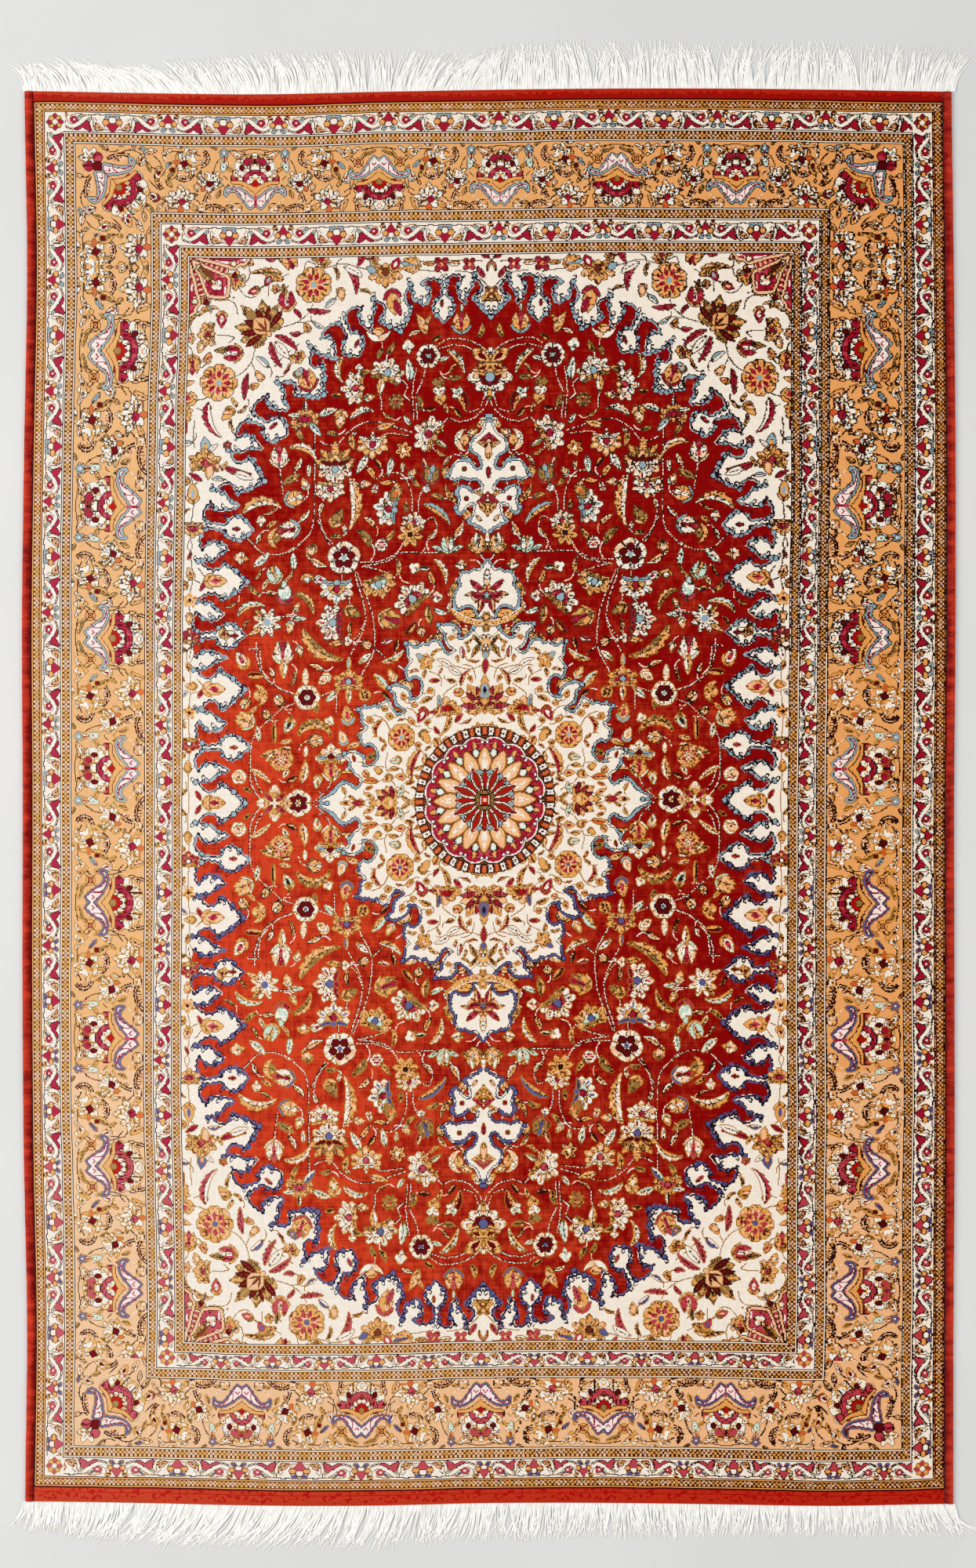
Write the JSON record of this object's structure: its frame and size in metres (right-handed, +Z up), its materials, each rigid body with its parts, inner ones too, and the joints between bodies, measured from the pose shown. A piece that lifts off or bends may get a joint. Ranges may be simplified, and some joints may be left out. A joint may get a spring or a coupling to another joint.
{
  "type": "medallion rug",
  "caption": "Small hand-knotted silk rug, laid flat, with bound sides and a knotted fringe along each end.",
  "frame": {"origin": "middle of the knotted cloth, on its underside", "axes": "+X to the right selvedge, +Y to the upper fringe, +Z up out of the pile"},
  "size_m": [1.0521, 1.6886, 0.005],
  "materials": {
    "silk_pile": "short cut silk pile with a soft sheen",
    "silk_overcasting": "wrapped red silk",
    "silk_fringe": "ivory silk strands"
  },
  "bodies": {
    "root": {"rug": "silk_pile", "selvedge_left": "silk_overcasting", "selvedge_right": "silk_overcasting", "fringe_top": "silk_fringe", "fringe_bottom": "silk_fringe"}
  },
  "joints": []
}
